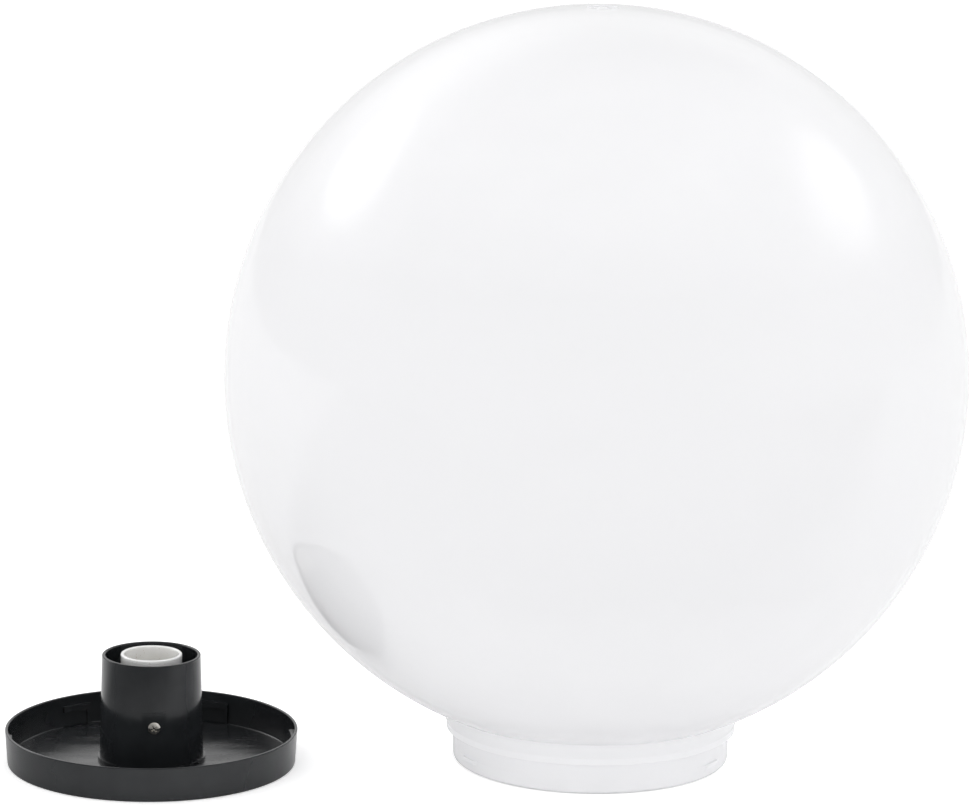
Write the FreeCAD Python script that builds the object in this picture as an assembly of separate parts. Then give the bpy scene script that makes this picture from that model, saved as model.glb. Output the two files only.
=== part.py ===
"""Garden globe light: an opal plastic globe and the black lamp base that carries it.

The globe stands beside its base, taken off it, as when a lamp is being fitted. The base is a
shallow dish with a sleeve in the middle. A 60 mm pole comes up into the sleeve from below and
is held by three screws. A porcelain lampholder hangs in a steel bracket inside the sleeve. The
neck of the globe goes down into the dish, and a short turn takes its lugs in under the catches.

Millimetres, +Z up. The origin is on the pole's axis, at the flat underside of the dish.
"""
import FreeCAD, Part
import math
import os

V = FreeCAD.Vector

# --- Globe ------------------------------------------------------------------------------------
globe_d = 500.0             # outside diameter of the ball
globe_wall = 2.4            # moulded wall of the ball and its neck
neck_d = 188.0              # lower part of the neck, which goes down into the dish
neck_band_out = 4.2         # the band above it stands out this far, and closes the dish's rim
neck_band_h = 4.7
neck_step_h = 0.9           # sloping step under the band
neck_flare_out = 4.3        # the neck flares out to the ball above the band
neck_flare_h = 10.8
neck_draft = 0.5            # the foot is this much narrower in radius than the step
neck_foot_r = 3.2           # rounding where the foot turns in
neck_lip_w = 6.5            # from the foot's outside in to the edge that is cut open
stand_gap = 97.4            # between the dish and the globe's neck, as they stand
stand_turn = -1.4           # direction of the globe from the base, in degrees from +X

# --- Gate mark at the top of the ball ---------------------------------------------------------
gate_well_r = 10.0
gate_well_depth = 1.3
gate_lip_r = 0.6
gate_stub_r = 4.5
gate_stub_rise = 0.9        # rise of the stub's domed end
gate_backing_out = 3.0      # the thickened wall behind the well is this much wider
gate_backing = 1.4

# --- Dish -------------------------------------------------------------------------------------
dish_h = 23.5
dish_wall = 2.0
dish_floor = 2.6
dish_draft = 1.4            # the foot is this much smaller in radius than the rim
dish_to_neck = 2.8          # room between the rim and the globe's neck, for the lugs
rim_to_band = 0.2           # room between the rim and the band over it
rim_edge_r = 0.7
dish_foot_r = 1.2
dish_corner_r = 0.8
collar_rise = 2.2           # ring on the dish's floor that the sleeve stands on
collar_over = 1.3           # the ring is this much wider than the sleeve's foot
spigot_top_z = 20.0         # tube that stands up inside the sleeve's foot and guides the pole
spigot_wall = 2.1

# --- Bayonet ----------------------------------------------------------------------------------
catch_count = 6
catch_angle = 13.0
catch_h = 4.5
catch_to_neck = 0.4         # room between the catches and the neck's wall
catch_to_step = 5.3         # room between the catches and the neck's step
catch_slope = 0.6           # the catches' upper faces fall inwards by this much
catch_stop_angle = 1.6      # a rib under one end of each catch stops the lug
catch_slot_angle = 11.0     # slot in the floor below each catch, where the mould's core passed
catch_slot_w = 2.2
lug_count = 3
lug_angle = 9.6
lug_h = 3.4
lug_lead = 0.5              # bevel under the lugs
lug_to_catch = 0.4          # room over a lug when it is under its catch
lug_to_dish = 0.4           # room between a lug and the dish's wall
globe_turn = 82.0           # how the globe is turned where it stands

# --- Sleeve -----------------------------------------------------------------------------------
pole_d = 60.0               # the garden pole that the base goes on
pole_room = 0.4             # room round the pole
pole_relief = 0.5           # the sleeve is this much wider between its guiding lands
sleeve_top_z = 75.0
sleeve_wall = 2.4           # at the top
sleeve_draft = 1.8          # the sleeve is this much wider in radius at its foot
sleeve_edge_r = 0.8
web_z = 46.0                # underside of the web, where the pole stops
web_h = 4.0
land_h = 6.0                # upper guiding land, under the web
slip = 0.15                 # room between parts that are pushed together by hand

# --- Pole clamp: three screws in square nuts --------------------------------------------------
clamp_count = 3
clamp_z = 33.0
clamp_d = 4.0
clamp_stand_off = 0.8       # the heads stand this far off their seats at rest
clamp_back_off = 0.1        # the tips stop this far outside the guiding lands at rest
clamp_head_d = 8.4
clamp_head_h = 2.9
clamp_tip_bevel = 0.4
cross_w = 1.0               # cross recess of the clamp screws
cross_span = 4.6
cross_depth = 1.5
pad_angle = 26.0            # pad without draft round each clamp screw
pad_top_z = 43.0
pad_foot_z = 21.0           # below the height where the drafted sleeve reaches the pad's face
pad_rise = 0.5              # above the sleeve, at the pad's top
seat_depth = 0.3            # flat seat that is cut in the pad for the screw's head
seat_room = 0.6             # the seat is this much wider than the head, in radius
nut_side = 7.0
nut_t = 2.2
nut_room = 0.12
nut_corner_r = 0.5
running = 0.03              # room round a screw in its thread

# --- Lampholder -------------------------------------------------------------------------------
holder_rise = 0.6           # how far the holder's rim stands above the sleeve's
shell_d = 27.6              # outside of the threaded shell
shell_t = 0.45
shell_h = 20.0              # below its flange
shell_room = 0.8            # between the shell and the porcelain round it
shell_flange_w = 2.7
flange_to_skirt = 1.8
skirt_wall = 2.5
skirt_depth = 13.6          # from the rim down to the ledge that the shell hangs on
ledge_bevel = 1.0
contact_room = 5.0          # between the shell's foot and the porcelain floor
holder_floor_h = 10.0
holder_lip_r = 1.1
holder_foot_bevel = 1.5
notch_w = 10.0              # room for a terminal, open below and at the side
notch_in_y = 5.0
notch_roof_h = 1.5          # porcelain left between a notch and the floor above it

# --- Contacts and terminals -------------------------------------------------------------------
strip_w = 5.0
strip_t = 0.8
strip_past_rivet = 3.0      # live strip, from its rivet out to its end
neutral_past_rivet = 2.2    # neutral strip, from its rivet in to its end
tongue_t = 0.5
tongue_lift = 0.3           # root of the tongue above the porcelain
tongue_gap = 0.15           # between the strip and the bending tongue
tongue_root_y = 5.6
tongue_crest = 4.4          # height of the crest above the porcelain
tongue_crest_y = 1.9        # half the length of the crest
tongue_crest_rise = 1.0
rivet_in = 5.1              # from the porcelain round the shell in to a rivet
rivet_r = 1.2
rivet_head_r = 2.0
rivet_head_h = 0.8
rivet_depth = 2.0           # into the terminal
terminal_w = 7.0
terminal_h = 7.0
terminal_in_y = 5.6
terminal_inset = 3.8        # from the holder's side in to the terminal
wire_hole_r = 1.6
wire_hole_depth = 7.0
term_screw_in = 4.0         # from the terminal's outer end in to its screw
term_screw_d = 3.0
term_screw_l = 5.0
term_head_d = 5.2
term_head_h = 1.9
term_stand_off = 1.4        # the heads stand this far below their terminals at rest
side_leg_h = 13.0           # the neutral strip's leg behind the shell
side_leg_angle = 20.0
side_leg_gap = 0.05

# --- Bracket ----------------------------------------------------------------------------------
strap_w = 14.0
strap_t = 1.5
strap_bend_r = 1.0          # inside of each bend
strap_gap = 0.8             # between the legs and the porcelain
strap_to_web = 0.4          # between the legs and the hole in the web
web_bevel = 1.1             # bevel round that hole, for the bends of the strap
strap_hole_r = 4.0
ear_l = 5.1
ear_screw_in = 2.0          # from the end of an ear in to its screw
ear_gap = 0.87              # between the ears' corners and the sleeve
holder_screw_x = 8.6
holder_screw_d = 4.0
holder_screw_sink = 2.6     # counterbore in the porcelain floor
holder_screw_head_d = 7.0
holder_screw_head_h = 2.4
ear_screw_d = 2.8
ear_screw_tail = 0.4        # the web below the ear screws' tips
ear_screw_head_d = 5.0
ear_screw_head_h = 1.9
driver_slot_w = 0.8
driver_slot_depth = 0.9

# --- Worked out from the above ----------------------------------------------------------------
globe_r = globe_d / 2
neck_r = neck_d / 2
band_r = neck_r + neck_band_out
neck_top_r = band_r + neck_flare_out
band_foot_h = dish_h - dish_floor + rim_to_band
neck_h = band_foot_h + neck_band_h + neck_flare_h
ball_z = neck_h + math.sqrt(globe_r ** 2 - neck_top_r ** 2)

dish_rim_in_r = neck_r + dish_to_neck
dish_rim_r = dish_rim_in_r + dish_wall
catch_z = dish_floor + band_foot_h - neck_step_h - catch_to_step - catch_h
seat_z = dish_floor + collar_rise
stand_x = (dish_rim_r + neck_top_r + stand_gap) * math.cos(math.radians(stand_turn))
stand_y = (dish_rim_r + neck_top_r + stand_gap) * math.sin(math.radians(stand_turn))

shell_r = shell_d / 2
shell_bore_r = shell_r + shell_room
flange_r = shell_r + shell_flange_w
mouth_r = flange_r + flange_to_skirt
holder_r = mouth_r + skirt_wall
holder_top_z = sleeve_top_z + holder_rise
ledge_z = holder_top_z - skirt_depth
shell_foot_z = ledge_z - shell_h
floor_z = shell_foot_z - contact_room
holder_foot_z = floor_z - holder_floor_h
terminal_top_z = floor_z - notch_roof_h
terminal_z = terminal_top_z - terminal_h
terminal_out_y = holder_r - terminal_inset
term_screw_y = terminal_out_y - term_screw_in
rivet_y = shell_bore_r - rivet_in

strap_z = holder_foot_z - strap_t
leg_in_x = holder_r + strap_gap
leg_out_x = leg_in_x + strap_t
ear_z = web_z + web_h
ear_end_x = leg_out_x + strap_bend_r + ear_l
ear_screw_x = ear_end_x - ear_screw_in
web_hole_r = math.hypot(leg_out_x, strap_w / 2) + strap_to_web

bore_r = pole_d / 2 + pole_room
relief_r = bore_r + pole_relief
sleeve_in_r = max(relief_r, math.hypot(ear_end_x, strap_w / 2) + ear_gap)
sleeve_top_r = sleeve_in_r + sleeve_wall
sleeve_foot_r = sleeve_top_r + sleeve_draft
spigot_r = bore_r + spigot_wall
socket_r = spigot_r + slip
socket_top_z = spigot_top_z + 2 * slip
pad_face_r = sleeve_top_r + sleeve_draft * (sleeve_top_z - pad_top_z) / (sleeve_top_z - seat_z) + pad_rise
clamp_seat_r = pad_face_r - seat_depth
clamp_tip_r = bore_r + clamp_back_off
nut_in_r = relief_r + nut_room


# --- Small tools ------------------------------------------------------------------------------
def outline(points):
    """A closed outline in the XZ plane. A point is (r, z), or (r, z, rm, zm) where the edge
    that arrives at it is an arc through (rm, zm)."""
    edges = []
    for before, here in zip(points[-1:] + points[:-1], points):
        start, end = V(before[0], 0, before[1]), V(here[0], 0, here[1])
        if len(here) == 4:
            edges.append(Part.Arc(start, V(here[2], 0, here[3]), end).toShape())
        else:
            edges.append(Part.LineSegment(start, end).toShape())
    return Part.Face(Part.Wire(edges))


def turned(points, angle=360.0, middle=0.0):
    """A solid turned about Z from an outline, through an angle centred on a direction."""
    shape = outline(points).revolve(V(0, 0, 0), V(0, 0, 1), angle)
    shape.rotate(V(0, 0, 0), V(0, 0, 1), middle - angle / 2)
    return shape


def quarter(end_r, end_z, centre_r, centre_z, radius, out, up):
    """An outline point that ends a quarter arc. out and up, 1 or -1, give the arc's side."""
    reach = radius / math.sqrt(2)
    return end_r, end_z, centre_r + out * reach, centre_z + up * reach


def dome(r, z, top):
    """An outline point on the axis that ends an arc from (r, z), centred on the axis."""
    ball = (r ** 2 + (top - z) ** 2) / (2 * (top - z))
    half = math.atan2(r, ball - (top - z)) / 2
    return 0, top, ball * math.sin(half), top - ball + ball * math.cos(half)


def box(x0, x1, y0, y1, z0, z1):
    return Part.makeBox(x1 - x0, y1 - y0, z1 - z0, V(x0, y0, z0))


def rod(r, start, end):
    along = V(*end) - V(*start)
    return Part.makeCylinder(r, along.Length, V(*start), along)


def upright(r, x, y, z0, z1):
    return rod(r, (x, y, z0), (x, y, z1))


def spun(shape, degrees):
    """A copy of a shape turned about the Z axis."""
    copy = shape.copy()
    copy.rotate(V(0, 0, 0), V(0, 0, 1), degrees)
    return copy


def ring_of(shape, count, phase=0.0):
    """Copies of a shape, evenly spaced round the Z axis."""
    return [spun(shape, phase + 360.0 * i / count) for i in range(count)]


def mirrored(shape):
    """A shape joined with its mirror image across the YZ plane."""
    return shape.fuse(shape.mirror(V(0, 0, 0), V(1, 0, 0))).removeSplitter()


def pan_head(d, h):
    """Pan head that stands on z = 0 and has a domed top."""
    return turned([(0, 0), (d / 2, 0), (d / 2, h * 0.42), dome(d / 2, h * 0.42, h)])


def slotted_screw(d, length, head_d, head_h):
    """Slotted screw whose head stands on z = 0, with its shank hanging down."""
    slot = box(-head_d, head_d, -driver_slot_w / 2, driver_slot_w / 2, head_h - driver_slot_depth, head_h)
    shank = upright(d / 2, 0, 0, -length, head_h * 0.2)
    return pan_head(head_d, head_h).cut(slot).fuse(shank).removeSplitter()


def save(shape, name):
    """Writes one sub-part, which is one closed solid or a group of them."""
    solids = shape.Solids
    assert solids and all(s.isValid() and s.Volume > 0 for s in solids), name
    whole = solids[0] if len(solids) == 1 else Part.makeCompound(solids)
    whole.exportStep("parts/" + name + ".step")
    bounds = whole.BoundBox
    print("%-22s %d solid(s) %11.1f mm3   z %6.2f to %6.2f" % (
        name, len(solids), whole.Volume, bounds.ZMin, bounds.ZMax))


# --- Globe ------------------------------------------------------------------------------------
def neck_outside():
    """Outline of the neck from its cut edge, round the foot, up to the ball. The foot goes down
    inside the dish, and the band above it closes over the dish's rim."""
    foot_r = neck_r - neck_draft
    inset = foot_r - neck_foot_r
    return [
        (foot_r - neck_lip_w, 0),
        (inset, 0),
        quarter(foot_r, neck_foot_r, inset, neck_foot_r, neck_foot_r, 1, -1),
        (neck_r, band_foot_h - neck_step_h),
        (neck_r + neck_step_h, band_foot_h),
        (band_r, band_foot_h),
        (band_r, band_foot_h + neck_band_h),
        (neck_top_r, neck_h),
    ]


def ball_outside():
    """Outline of the ball from the neck over to the axis. The gate leaves a round well at the
    top, with the domed stub of the sprue in it."""
    lip_r = gate_well_r + gate_lip_r
    lip_z = ball_z + math.sqrt(globe_r ** 2 - lip_r ** 2)
    top = ball_z + globe_r
    well_z = top - gate_well_depth
    return [
        (lip_r, lip_z, globe_r, ball_z),
        quarter(gate_well_r, lip_z - gate_lip_r, lip_r, lip_z - gate_lip_r, gate_lip_r, -1, 1),
        (gate_well_r, well_z),
        (gate_stub_r, well_z),
        (gate_stub_r, top - gate_stub_rise),
        dome(gate_stub_r, top - gate_stub_rise, top),
    ]


def globe_inside():
    """Outline of the inside from the top down to the foot. It keeps the wall's thickness, apart
    from the thicker round patch behind the gate."""
    in_r = globe_r - globe_wall
    backing_r = gate_well_r + gate_backing_out
    backing_z = ball_z + math.sqrt(in_r ** 2 - backing_r ** 2)
    backing_face = ball_z + in_r - gate_backing
    throat_r = neck_top_r - globe_wall
    throat_z = ball_z - math.sqrt(in_r ** 2 - throat_r ** 2)
    flare_z = band_foot_h + neck_band_h + globe_wall / 2
    bend = neck_foot_r - globe_wall
    foot_in = neck_r - neck_draft - neck_foot_r
    return [
        (0, backing_face),
        (backing_r - gate_backing, backing_face),
        (backing_r, backing_z),
        (throat_r, throat_z, in_r, ball_z),
        (band_r - globe_wall, flare_z),
        (neck_r - globe_wall, flare_z - neck_band_h),
        (foot_in + bend, neck_foot_r),
        quarter(foot_in, globe_wall, foot_in, neck_foot_r, bend, 1, -1),
        (neck_r - neck_draft - neck_lip_w, globe_wall),
    ]


def globe_lugs():
    """Low lugs round the neck, bevelled underneath to find their way in between the catches."""
    top = catch_z - lug_to_catch - dish_floor
    root = neck_r - globe_wall / 2
    out_r = dish_in_r(dish_floor + top - lug_h) - lug_to_dish
    lug = turned([(root, top - lug_h), (out_r - lug_lead, top - lug_h), (out_r, top - lug_h + lug_lead),
                  (out_r, top), (root, top)], lug_angle)
    return ring_of(lug, lug_count, globe_turn)


def globe_shell():
    shell = turned(neck_outside() + ball_outside() + globe_inside())
    shell = shell.fuse(globe_lugs()).removeSplitter()
    shell.translate(V(stand_x, stand_y, 0))
    return shell


# --- Dish -------------------------------------------------------------------------------------
def dish_in_r(z):
    """Inside radius of the drafted wall at a height."""
    return dish_rim_in_r - dish_draft * (1 - z / dish_h)


def dish_body():
    """Round dish with a drafted wall, a ring for the sleeve to stand on and a spigot in it."""
    wall_in = dish_in_r(dish_floor)
    foot_r = dish_rim_r - dish_draft
    foot_in = foot_r - dish_foot_r
    rim_z = dish_h - rim_edge_r
    rim_out = dish_rim_r - rim_edge_r
    rim_in = dish_rim_in_r + rim_edge_r
    well_r, well_z = wall_in - dish_corner_r, dish_floor + dish_corner_r
    collar_r = sleeve_foot_r + collar_over
    return turned([
        (bore_r, 0),
        (foot_in, 0),
        quarter(foot_r, dish_foot_r, foot_in, dish_foot_r, dish_foot_r, 1, -1),
        (dish_rim_r, rim_z),
        quarter(rim_out, dish_h, rim_out, rim_z, rim_edge_r, 1, 1),
        (rim_in, dish_h),
        quarter(dish_rim_in_r, rim_z, rim_in, rim_z, rim_edge_r, -1, 1),
        (wall_in, well_z),
        quarter(well_r, dish_floor, well_r, well_z, dish_corner_r, 1, -1),
        (collar_r, dish_floor),
        (collar_r, seat_z),
        (spigot_r, seat_z),
        (spigot_r, spigot_top_z),
        (bore_r, spigot_top_z),
    ])


def dish_catch():
    """A ledge on the dish's wall, closed at one end by a rib that stops the globe's turn."""
    in_r = neck_r + catch_to_neck
    root = dish_in_r(catch_z) + dish_wall / 2
    top = catch_z + catch_h
    ledge = turned([(in_r, catch_z), (root, catch_z), (root, top), (in_r, top - catch_slope)], catch_angle)
    rib = turned([(in_r, dish_floor / 2), (root, dish_floor / 2), (root, catch_z), (in_r, catch_z)],
                 catch_stop_angle, (catch_stop_angle - catch_angle) / 2)
    return ledge.fuse(rib)


def dish_slot():
    """The opening in the floor that the core of the mould leaves below a catch."""
    out_r = dish_in_r(dish_floor)
    in_r = out_r - catch_slot_w
    middle = (catch_angle - catch_slot_angle) / 2
    return turned([(in_r, -1), (out_r, -1), (out_r, dish_floor + dish_corner_r),
                   (in_r, dish_floor + dish_corner_r)], catch_slot_angle, middle)


def base_dish():
    dish = dish_body().cut(ring_of(dish_slot(), catch_count))
    return dish.fuse(ring_of(dish_catch(), catch_count)).removeSplitter()


# --- Sleeve -----------------------------------------------------------------------------------
def sleeve_body():
    """Tapered tube with a socket over the dish's spigot, and a web across it for the bracket."""
    edge_z = sleeve_top_z - sleeve_edge_r
    out_r = sleeve_top_r - sleeve_edge_r
    in_r = sleeve_in_r + sleeve_edge_r
    return turned([
        (socket_r, seat_z),
        (sleeve_foot_r, seat_z),
        (sleeve_top_r, edge_z),
        quarter(out_r, sleeve_top_z, out_r, edge_z, sleeve_edge_r, 1, 1),
        (in_r, sleeve_top_z),
        quarter(sleeve_in_r, edge_z, in_r, edge_z, sleeve_edge_r, -1, 1),
        (sleeve_in_r, ear_z),
        (web_hole_r + web_bevel, ear_z),
        (web_hole_r, ear_z - web_bevel),
        (web_hole_r, web_z),
        (bore_r, web_z),
        (bore_r, web_z - land_h),
        (relief_r, web_z - land_h - pole_relief),
        (relief_r, socket_top_z),
        (socket_r, socket_top_z),
    ])


def clamp_pad():
    """Pad on the sleeve, facing -Y. It has no draft, so it runs out into the sleeve below."""
    return turned([(relief_r + 1, pad_foot_z), (pad_face_r, pad_foot_z), (pad_face_r, pad_top_z),
                   (relief_r + 1, pad_top_z)], pad_angle, -90)


def clamp_opening():
    """Square pocket for the nut, open to the pole's side, the hole for its screw, and the flat
    seat for the screw's head."""
    side = nut_side / 2 + nut_room
    pocket = box(-side, side, -(nut_in_r + nut_t + nut_room), -bore_r, clamp_z - side, clamp_z + side)
    hole = rod(clamp_d / 2 + slip, (0, -bore_r, clamp_z), (0, -2 * bore_r, clamp_z))
    seat = rod(clamp_head_d / 2 + seat_room, (0, -clamp_seat_r, clamp_z), (0, -2 * bore_r, clamp_z))
    return pocket.fuse([hole, seat])


def lamp_sleeve():
    sleeve = sleeve_body().fuse(ring_of(clamp_pad(), clamp_count))
    pilots = [upright(ear_screw_d / 2 + running, x, 0, web_z - 1, ear_z + 1)
              for x in (-ear_screw_x, ear_screw_x)]
    return sleeve.cut(ring_of(clamp_opening(), clamp_count) + pilots).removeSplitter()


# --- Pole clamp -------------------------------------------------------------------------------
def clamp_nut():
    """Square nut, behind the pad that faces -Y."""
    side = nut_side / 2
    nut = box(-side, side, -nut_in_r - nut_t, -nut_in_r, clamp_z - side, clamp_z + side)
    corners = [e for e in nut.Edges if e.BoundBox.YLength > nut_t / 2]
    thread = rod(clamp_d / 2 + running, (0, 0, clamp_z), (0, -2 * nut_in_r, clamp_z))
    return nut.makeFillet(nut_corner_r, corners).cut(thread)


def clamp_screw():
    """Cross-head screw along -Y, backed off so that a pole can be put in."""
    r = clamp_d / 2
    length = clamp_seat_r + clamp_stand_off - clamp_tip_r
    head = pan_head(clamp_head_d, clamp_head_h)
    for angle in (0, 90):
        bar = box(-cross_span / 2, cross_span / 2, -cross_w / 2, cross_w / 2,
                  clamp_head_h - cross_depth, clamp_head_h)
        head = head.cut(spun(bar, angle))
    shank = turned([(0, -length), (r - clamp_tip_bevel, -length), (r, clamp_tip_bevel - length),
                    (r, clamp_head_h * 0.2), (0, clamp_head_h * 0.2)])
    screw = head.fuse(shank).removeSplitter()
    screw.rotate(V(0, 0, 0), V(1, 0, 0), 90)
    screw.translate(V(0, -clamp_tip_r - length, clamp_z))
    return screw


# --- Lampholder -------------------------------------------------------------------------------
def holder_cup():
    """Porcelain cup: a deep skirt, a bore for the threaded shell, and a thick floor."""
    lip_z = holder_top_z - holder_lip_r
    lip_out, lip_in = holder_r - holder_lip_r, mouth_r + holder_lip_r
    return turned([
        (0, holder_foot_z),
        (holder_r - holder_foot_bevel, holder_foot_z),
        (holder_r, holder_foot_z + holder_foot_bevel),
        (holder_r, lip_z),
        quarter(lip_out, holder_top_z, lip_out, lip_z, holder_lip_r, 1, 1),
        (lip_in, holder_top_z),
        quarter(mouth_r, lip_z, lip_in, lip_z, holder_lip_r, -1, 1),
        (mouth_r, ledge_z + ledge_bevel),
        (mouth_r - ledge_bevel, ledge_z),
        (shell_bore_r, ledge_z),
        (shell_bore_r, floor_z),
        (0, floor_z),
    ])


def holder_notch(side):
    """Room for a terminal, cut in from below and from the side."""
    y0, y1 = sorted((side * notch_in_y, side * (holder_r + 1)))
    return box(-notch_w / 2, notch_w / 2, y0, y1, holder_foot_z - 1, terminal_top_z)


def lampholder_body():
    cuts = []
    for side in (-1, 1):
        x = side * holder_screw_x
        cuts.append(holder_notch(side))
        cuts.append(upright(rivet_r + running, 0, side * rivet_y, terminal_top_z - 1, floor_z + 1))
        cuts.append(upright(holder_screw_d / 2 + slip, x, 0, holder_foot_z - 1, floor_z + 1))
        cuts.append(upright(holder_screw_head_d / 2 + slip, x, 0, floor_z - holder_screw_sink, floor_z + 1))
    return holder_cup().cut(cuts).removeSplitter()


def screw_shell():
    """Sheet-metal shell that takes the lamp's cap, hung by its flange on the porcelain ledge."""
    in_r = shell_r - shell_t
    return turned([
        (in_r, shell_foot_z), (shell_r, shell_foot_z), (shell_r, ledge_z), (flange_r, ledge_z),
        (flange_r, ledge_z + shell_t), (in_r, ledge_z + shell_t),
    ])


# --- Contacts and terminals -------------------------------------------------------------------
def rivet_hole(side, z):
    return upright(rivet_r + running, 0, side * rivet_y, z - 3, z + 3)


def live_strip():
    """Strip on the porcelain floor that carries the centre contact."""
    strip = box(-strip_w / 2, strip_w / 2, tongue_root_y + tongue_gap, rivet_y + strip_past_rivet,
                floor_z, floor_z + strip_t)
    return strip.cut(rivet_hole(1, floor_z))


def centre_contact():
    """Sprung tongue that a lamp's cap pushes down. It rises from its root to a rounded crest."""
    foot = floor_z + tongue_lift
    crest = floor_z + tongue_crest
    side = crest - tongue_crest_rise
    y = tongue_crest_y
    tongue = outline([
        (tongue_root_y, foot),
        (tongue_root_y, foot + tongue_t),
        (tongue_root_y - 2 * tongue_t, foot + tongue_t),
        (y, side),
        (-y, side, 0, crest),
        (tongue_t - y, side - tongue_t),
        (y - tongue_t, side - tongue_t, 0, crest - tongue_t),
        (tongue_root_y - 1.6 * tongue_t, foot),
    ]).extrude(V(0, strip_w, 0))
    tongue.translate(V(0, -strip_w / 2, 0))
    return spun(tongue, 90)


def neutral_strip():
    """Strip from the neutral rivet out to the shell's side, and up behind it."""
    in_r, out_r = shell_r + side_leg_gap, shell_bore_r - 2 * side_leg_gap
    top = floor_z + side_leg_h
    leg = turned([(in_r, floor_z), (out_r, floor_z), (out_r, top), (in_r, top)], side_leg_angle, -90)
    foot = box(-strip_w / 2, strip_w / 2, -(in_r + out_r) / 2, neutral_past_rivet - rivet_y,
               floor_z, floor_z + strip_t)
    return leg.fuse(foot).cut(rivet_hole(-1, floor_z)).removeSplitter()


def contact_rivet(side):
    """Rivet through a strip and the porcelain, into the terminal below."""
    head_z = floor_z + strip_t
    tail_z = terminal_top_z - rivet_depth
    rivet = turned([(0, tail_z), (rivet_r, tail_z), (rivet_r, head_z), (rivet_head_r, head_z),
                    dome(rivet_head_r, head_z, head_z + rivet_head_h)])
    rivet.translate(V(0, side * rivet_y, 0))
    return rivet


def terminal(side):
    """Brass block in its notch. A wire goes in from the side and a screw below closes on it."""
    y0, y1 = sorted((side * terminal_in_y, side * terminal_out_y))
    wire_z = terminal_z + terminal_h / 2
    wire_hole = rod(wire_hole_r, (0, side * (terminal_out_y + 1), wire_z),
                    (0, side * (terminal_out_y - wire_hole_depth), wire_z))
    thread = upright(term_screw_d / 2 + running, 0, side * term_screw_y, terminal_z - 1, wire_z + wire_hole_r)
    body = box(-terminal_w / 2, terminal_w / 2, y0, y1, terminal_z, terminal_top_z)
    return body.cut([wire_hole, thread, rivet_hole(side, terminal_top_z)])


def terminal_screw(side):
    screw = slotted_screw(term_screw_d, term_screw_l, term_head_d, term_head_h)
    screw.rotate(V(0, 0, 0), V(1, 0, 0), 180)
    screw.translate(V(0, side * term_screw_y, terminal_z - term_stand_off))
    return screw


# --- Bracket ----------------------------------------------------------------------------------
def strap_half():
    """Half of the bent steel strap: the seat, a leg up through the web, and an ear on it."""
    inner, outer = strap_bend_r, strap_bend_r + strap_t
    seat_z1 = strap_z + strap_t
    seat_x, seat_bend_z = leg_out_x - outer, strap_z + outer
    ear_x, ear_bend_z = leg_out_x + inner, ear_z - inner
    return outline([
        (0, seat_z1),
        (0, strap_z),
        (seat_x, strap_z),
        quarter(leg_out_x, seat_bend_z, seat_x, seat_bend_z, outer, 1, -1),
        (leg_out_x, ear_bend_z),
        quarter(ear_x, ear_z, ear_x, ear_bend_z, inner, -1, 1),
        (ear_end_x, ear_z),
        (ear_end_x, ear_z + strap_t),
        (ear_x, ear_z + strap_t),
        quarter(leg_in_x, ear_bend_z, ear_x, ear_bend_z, outer, -1, 1),
        (leg_in_x, seat_bend_z),
        quarter(seat_x, seat_z1, seat_x, seat_bend_z, inner, 1, -1),
    ]).extrude(V(0, strap_w, 0))


def holder_bracket():
    strap = mirrored(strap_half())
    strap.translate(V(0, -strap_w / 2, 0))
    holes = [upright(strap_hole_r, 0, 0, strap_z - 1, strap_z + strap_t + 1)]
    for side in (-1, 1):
        holes.append(upright(holder_screw_d / 2 + running, side * holder_screw_x, 0,
                             strap_z - 1, strap_z + strap_t + 1))
        holes.append(upright(ear_screw_d / 2 + slip, side * ear_screw_x, 0, ear_z - 1, ear_z + strap_t + 1))
    return strap.cut(holes)


def screw_pair(screw, x, z):
    """The same screw at x and at -x, with its head standing at a height."""
    pair = []
    for side in (-1, 1):
        copy = screw.copy()
        copy.translate(V(side * x, 0, z))
        pair.append(copy)
    return Part.makeCompound(pair)


def holder_screws():
    """Two screws that go down through the porcelain into the strap below it."""
    seat = floor_z - holder_screw_sink
    screw = slotted_screw(holder_screw_d, seat - strap_z + 1, holder_screw_head_d, holder_screw_head_h)
    return screw_pair(screw, holder_screw_x, seat)


def bracket_screws():
    """Two thread-forming screws that hold the strap's ears down on the web."""
    screw = slotted_screw(ear_screw_d, strap_t + web_h - ear_screw_tail, ear_screw_head_d, ear_screw_head_h)
    return screw_pair(screw, ear_screw_x, ear_z + strap_t)


# --- All parts --------------------------------------------------------------------------------
os.makedirs("parts", exist_ok=True)
save(globe_shell(), "globe_shell")
save(base_dish(), "base_dish")
save(lamp_sleeve(), "lamp_sleeve")
for i in range(clamp_count):
    save(spun(clamp_nut(), i * 360.0 / clamp_count), "clamp_nut_%d" % (i + 1))
    save(spun(clamp_screw(), i * 360.0 / clamp_count), "clamp_screw_%d" % (i + 1))
save(lampholder_body(), "lampholder_body")
save(screw_shell(), "screw_shell")
save(centre_contact(), "centre_contact")
save(live_strip(), "live_strip")
save(neutral_strip(), "neutral_strip")
save(Part.makeCompound([contact_rivet(1), contact_rivet(-1)]), "contact_rivets")
save(terminal(1), "live_terminal")
save(terminal(-1), "neutral_terminal")
save(terminal_screw(1), "live_terminal_screw")
save(terminal_screw(-1), "neutral_terminal_screw")
save(holder_bracket(), "holder_bracket")
save(holder_screws(), "holder_screws")
save(bracket_screws(), "bracket_screws")
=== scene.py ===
"""Garden globe light: an opal globe that stands beside the black lamp base it belongs on.

The file follows the light as it is put together: the globe, the moulded base, the pole clamp, the
lampholder, its contacts and terminals, the bracket that holds it, and last the studio. The scene is
in metres, in the frame of the CAD model. Sizes of the pieces are written in millimetres.
"""
import math

import bpy
from mathutils import Matrix, Vector


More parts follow.
